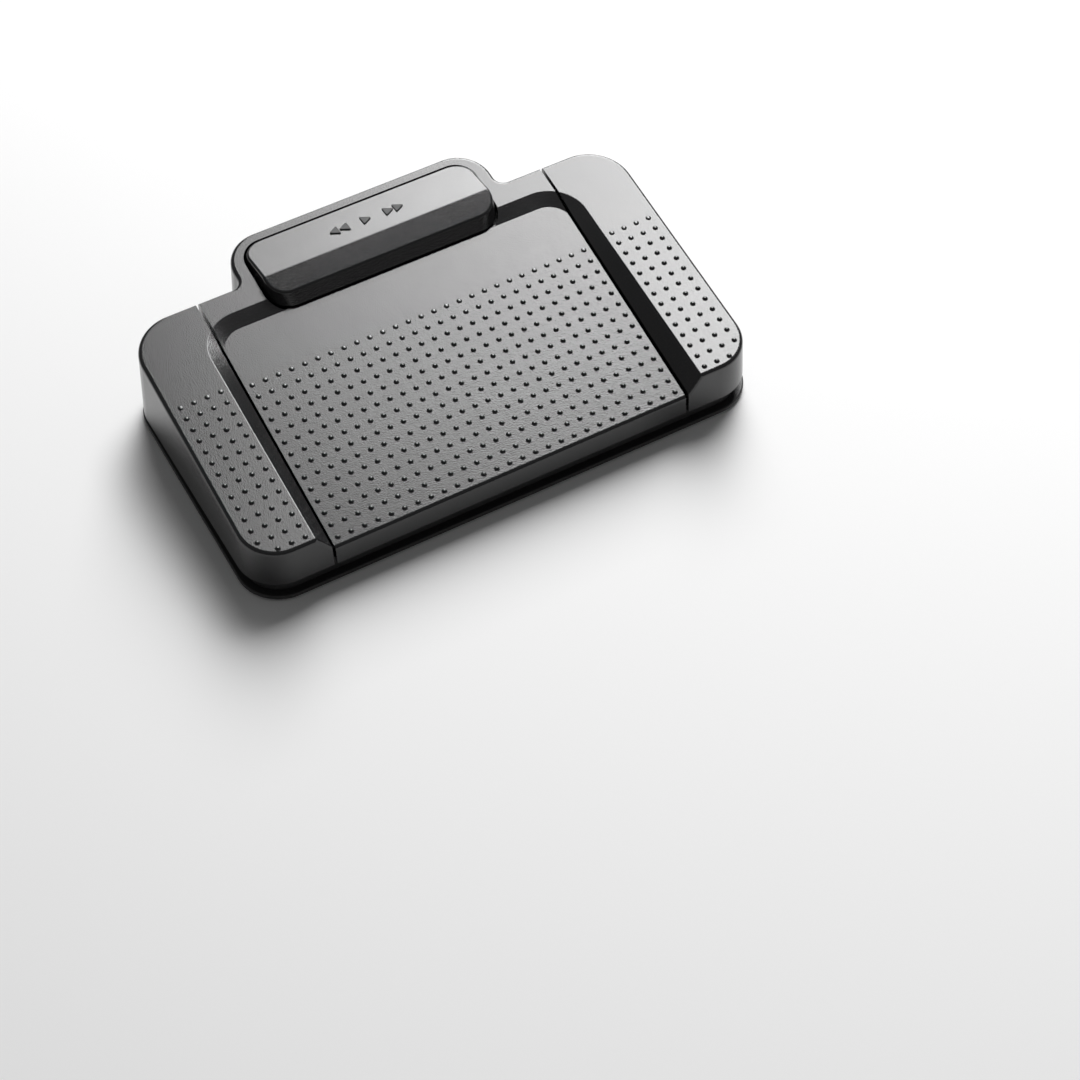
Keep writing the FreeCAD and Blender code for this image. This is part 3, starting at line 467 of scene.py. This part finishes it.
def fromTree(name, tree, values):
    carrier = newObject(name + "Carrier", bpy.data.meshes.new(name + "Carrier"))
    modifier = carrier.modifiers.new("nodes", "NODES")
    modifier.node_group = tree
    for item in tree.interface.items_tree:
        if item.in_out == "INPUT" and item.name in values:
            modifier[item.identifier] = values[item.name]
    graph = bpy.context.evaluated_depsgraph_get()
    mesh = bpy.data.meshes.new_from_object(carrier.evaluated_get(graph))
    mesh.name = name
    bpy.data.objects.remove(carrier)
    for attribute in [a.name for a in mesh.attributes if a.name in ("fade", "facing")]:
        mesh.attributes.remove(mesh.attributes[attribute])
    return newObject(name, mesh)


def makeStuds():
    shape = makeStudShape()
    tree = makeStudTree()
    _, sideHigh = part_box("right_pedal")
    rearEdge = sideHigh.y - studs["rearLean"]
    depth = (studs["rows"] - 1) * studs["pitch"]
    middleY = rearEdge - studs["firstRow"] - depth / 2
    sideWidth = (studs["sideColumns"] - 1) * studs["pitch"]
    sideMiddle = studs["sideInner"] + studs["sideInset"] + sideWidth / 2
    fields = {
        "centre": ("centre_pedal", studs["plateColumns"], 0.0),
        "left": ("left_pedal", studs["sideColumns"], -sideMiddle),
        "right": ("right_pedal", studs["sideColumns"], sideMiddle),
    }
    for body, (target, columns, middleX) in fields.items():
        values = {"Target": nodes[target], "Stud": shape, "Finish": materials["mouldedAbs"],
                  "Columns": columns, "Rows": studs["rows"], "Pitch": studs["pitch"],
                  "Middle": (middleX, middleY, studs["dropFrom"]), "FadeFrom": studs["fadeFrom"],
                  "FadeRows": studs["fadeRows"],
                  "SkipBeyond": sideMiddle + sideWidth / 2 - studs["pitch"] / 2}
        piece = fromTree(body + "Studs", tree, values)
        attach(piece, body)
        print("studs on", body, len(piece.data.polygons), "faces")
    bpy.data.objects.remove(shape)


makeStuds()


# Raised playback signs on the bar

barSigns = {
    "middleY": 50.5 * mm,      # in line with the middle of the bar's top
    "height": 5.4 * mm,
    "width": 4.2 * mm,
    "gap": 5.4 * mm,
    "raise": 0.5 * mm,
    "sink": 0.25 * mm,
    "cornerRound": 0.45 * mm,
    "cornerSteps": 4,
    "edgeRound": 0.22 * mm,
}


def roundedTriangle(left, right, half):
    # flat side at left, tip at right
    corners = [Vector((left, -half)), Vector((left, half)), Vector((right, 0))]
    if right > left:
        corners.reverse()
    outline = []
    radius = barSigns["cornerRound"]
    for i, corner in enumerate(corners):
        before = (corners[i - 1] - corner).normalized()
        after = (corners[(i + 1) % 3] - corner).normalized()
        halfAngle = before.angle(after) / 2
        reach = radius / math.tan(halfAngle)
        centre = corner + (before + after).normalized() * (radius / math.sin(halfAngle))
        start, end = corner + before * reach - centre, corner + after * reach - centre
        sweep = start.angle_signed(end)
        for step in range(barSigns["cornerSteps"] + 1):
            turn = Matrix.Rotation(-sweep * step / barSigns["cornerSteps"], 2)
            outline.append(centre + turn @ start)
    return outline


def makeBarSigns():
    place, normal = surfacePoint("top_bar", 0.0, barSigns["middleY"])
    across = Vector((1, 0, 0))
    upSlope = normal.cross(across).normalized()
    half, width, gap = barSigns["height"] / 2, barSigns["width"], barSigns["gap"]
    sink, lift = barSigns["sink"], barSigns["raise"]
    triangles = [(-width / 2, width / 2)]
    for side in (-1, 1):
        start = side * (width / 2 + gap)
        for step in range(2):
            triangles.append((start + side * width * step, start + side * width * (step + 1)))
    shape = bmesh.new()
    for left, right in triangles:
        outline = roundedTriangle(left, right, half)
        base = [shape.verts.new(place + across * corner.x + upSlope * corner.y - normal * sink)
                for corner in outline]
        face = shape.faces.new(base)
        drawn = bmesh.ops.extrude_face_region(shape, geom=[face])
        lifted = [g for g in drawn["geom"] if isinstance(g, bmesh.types.BMVert)]
        bmesh.ops.translate(shape, verts=lifted, vec=normal * (sink + lift))
        topEdges = [g for g in drawn["geom"] if isinstance(g, bmesh.types.BMEdge)]
        bmesh.ops.bevel(shape, geom=topEdges, offset=barSigns["edgeRound"], segments=2,
                        profile=0.5, affect="EDGES")
    bmesh.ops.recalc_face_normals(shape, faces=shape.faces)
    mesh = bpy.data.meshes.new("barSigns")
    shape.to_mesh(mesh)
    shape.free()
    mesh.materials.append(materials["erodedAbs"])    # dull, so the signs can be read
    signs = newObject("barSigns", mesh)
    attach(signs, "bar")
    print("signs on the bar:", len(triangles), "arrows")


makeBarSigns()


# Coil springs

coilShape = {"wireSides": 10, "stepsPerTurn": 26, "closing": 0.85}
coilSets = [
    # piece, CAD node, body, joint, wire, turns, height kept when the joint is at its end
    ("leftSpring", "left_spring", "base", "left_pedal_hinge", 0.8 * mm, 7, 0.70),
    ("rightSpring", "right_spring", "base", "right_pedal_hinge", 0.8 * mm, 7, 0.70),
    ("centreSprings", "centre_springs", "base", "centre_pedal_hinge", 0.8 * mm, 7, 0.70),
    ("barSprings", "bar_springs", "centre", "bar_hinge", 0.4 * mm, 8, 0.92),
]


def makeCoils(name, nodeName, body, joint, wire, turns, keep):
    # closed ends: the pitch opens from nothing to its full value and back
    shape = bmesh.new()
    boxes = solidBoxes(nodeName)
    wireSides = coilShape["wireSides"]
    for low, high in boxes:
        centre = (low + high) / 2
        radius = min(high.x - low.x, high.y - low.y) / 2 - wire / 2
        bottom, top = low.z + wire / 2, high.z - wire / 2
        steps = turns * coilShape["stepsPerTurn"]
        rings = []
        for i in range(steps + 1):
            share = i / steps
            closing = coilShape["closing"] * math.sin(2 * math.pi * share) / (2 * math.pi)
            angle = 2 * math.pi * turns * share
            outward = Vector((math.cos(angle), math.sin(angle), 0))
            height = bottom + (top - bottom) * (share - closing)
            middle = Vector((centre.x, centre.y, height)) + outward * radius
            ring = []
            for k in range(wireSides):
                turn = 2 * math.pi * k / wireSides
                offset = outward * math.cos(turn) + Vector((0, 0, 1)) * math.sin(turn)
                ring.append(shape.verts.new(middle + offset * wire / 2))
            rings.append(ring)
        for first, second in zip(rings, rings[1:]):
            for k in range(wireSides):
                after = (k + 1) % wireSides
                shape.faces.new((first[k], second[k], second[after], first[after]))
        shape.faces.new(rings[0])
        shape.faces.new(rings[-1][::-1])
    bmesh.ops.recalc_face_normals(shape, faces=shape.faces)
    for face in shape.faces:
        face.smooth = len(face.verts) == 4
    mesh = bpy.data.meshes.new(name)
    shape.to_mesh(mesh)
    shape.free()
    mesh.materials.append(materials["springWire"])
    coils = newObject(name, mesh)
    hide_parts(nodeName)
    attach(coils, body)
    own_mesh(coils)


for coilSet in coilSets:
    makeCoils(*coilSet)
print("springs wound")


# Rubber feet

footShape = {
    "segments": 48,
    "sharpFrom": 35,    # degrees
    # radius and height in mm, from the middle of the underside outwards and up
    "profile": [(0.0, 0.3), (1.9, 0.3), (2.1, 0.02), (3.3, 0.02), (3.5, 0.3), (4.3, 0.3),
                (4.5, 0.0), (5.5, 0.0), (5.85, 0.12), (6.0, 0.45), (6.0, 1.7), (0.0, 1.7)],
}


def lathe(shape, centre, profile, segments):
    loops = []
    for radius, z in profile:
        count = segments if radius > 0 else 1
        loops.append([shape.verts.new((
            centre.x + radius * mm * math.cos(2 * math.pi * k / segments),
            centre.y + radius * mm * math.sin(2 * math.pi * k / segments),
            centre.z + z * mm)) for k in range(count)])
    for low, high in zip(loops, loops[1:]):
        for k in range(segments):
            after = (k + 1) % segments
            corners = [low[k % len(low)], low[after % len(low)],
                       high[after % len(high)], high[k % len(high)]]
            shape.faces.new(list(dict.fromkeys(corners)))


def makeFeet():
    shape = bmesh.new()
    for low, high in solidBoxes("rubber_feet"):
        centre = Vector(((low.x + high.x) / 2, (low.y + high.y) / 2, low.z))
        lathe(shape, centre, footShape["profile"], footShape["segments"])
    bmesh.ops.recalc_face_normals(shape, faces=shape.faces)
    for face in shape.faces:
        face.smooth = True
    mesh = bpy.data.meshes.new("rubberFeet")
    shape.to_mesh(mesh)
    shape.free()
    mesh.set_sharp_from_angle(angle=math.radians(footShape["sharpFrom"]))
    mesh.materials.append(materials["mouldedRubber"])
    feet = newObject("rubberFeet", mesh)
    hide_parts("rubber_feet")
    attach(feet, "base")


makeFeet()
print("feet made")


# Floor and light

studio = {
    "floor": "#ececec",
    "floorRoughness": 0.7,
    "floorHalf": 4.0,
    "ambient": "#ffffff",
    "ambientStrength": 0.14,
    # a big soft box behind and above, its long edges level: metres behind and up of each edge
    "boxTop": (0.500, 1.960),
    "boxBottom": (1.85, 0.72),
    "boxStarts": (0.24, 0.52, 0.80),   # overlapping panels, so it fades in from the left
    "boxEnd": 1.55,
    "boxGap": 0.03,                    # each panel stands this far behind the one before
    "boxRadiance": 13.2,
}


def makeFloor():
    half = studio["floorHalf"]
    mesh = bpy.data.meshes.new("floor")
    corners = [(-half, -half, 0), (half, -half, 0), (half, half, 0), (-half, half, 0)]
    mesh.from_pydata(corners, [], [(0, 1, 2, 3)])
    floor = newObject("floor", mesh)
    paint = bpy.data.materials.new("paintedFloor")
    paint.use_nodes = True
    shader = paint.node_tree.nodes["Principled BSDF"]
    shader.inputs["Base Color"].default_value = linear(studio["floor"])
    shader.inputs["Roughness"].default_value = studio["floorRoughness"]
    mesh.materials.append(paint)


def makeLights():
    world = bpy.data.worlds.new("studioWorld")
    world.use_nodes = True
    background = world.node_tree.nodes["Background"]
    background.inputs["Color"].default_value = linear(studio["ambient"])
    background.inputs["Strength"].default_value = studio["ambientStrength"]
    bpy.context.scene.world = world
    top, bottom = Vector((0, *studio["boxTop"])), Vector((0, *studio["boxBottom"]))
    along = (bottom - top).normalized()
    across = Vector((1, 0, 0))
    away = across.cross(along)      # an area light shines along its own -Z
    share = studio["boxRadiance"] / len(studio["boxStarts"])
    for i, start in enumerate(studio["boxStarts"]):
        data = bpy.data.lights.new("softbox", "AREA")
        data.shape = "RECTANGLE"
        data.size, data.size_y = studio["boxEnd"] - start, (top - bottom).length
        data.energy = share * math.pi * data.size * data.size_y
        light = bpy.data.objects.new("softbox", data)
        middle = (top + bottom) / 2 + across * (start + studio["boxEnd"]) / 2
        middle += away * studio["boxGap"] * i
        turn = Matrix((across, along, away)).transposed().to_4x4()
        light.matrix_world = Matrix.Translation(middle) @ turn
        bpy.context.scene.collection.objects.link(light)


makeCamera()
makeFloor()
makeLights()
bpy.context.scene.view_settings.view_transform = "Standard"
print("camera, floor and light set")
